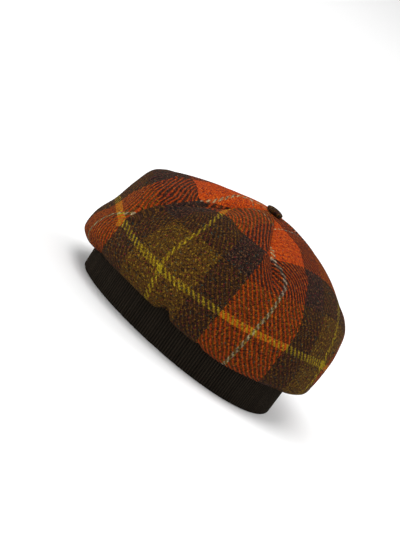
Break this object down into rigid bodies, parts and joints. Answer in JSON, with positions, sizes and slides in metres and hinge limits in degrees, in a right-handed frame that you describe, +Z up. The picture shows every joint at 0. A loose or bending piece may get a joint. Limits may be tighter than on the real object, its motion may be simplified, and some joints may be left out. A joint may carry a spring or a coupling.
{
  "type": "tam o shanter",
  "caption": "Soft tartan tweed tam o' shanter: a full crown darted to a covered button and gathered into a snug rib-knit headband.",
  "frame": {"origin": "middle of the headband's lower edge, on the plane the hat stands on, under the crown's centre", "axes": "+Z up through the button; -X the front and +X the back, along the headband's length; -Y the wearer's left side"},
  "size_m": [0.2421, 0.238, 0.1428],
  "materials": {
    "tartan_tweed": "woolly twill in an orange, brown, olive and yellow check",
    "rib_knit": "matt dark brown rib knit",
    "button_tweed": "woolly twill, dark olive brown"
  },
  "bodies": {
    "root": {"crown": "tartan_tweed", "headband": "rib_knit", "button": "button_tweed"}
  },
  "joints": []
}
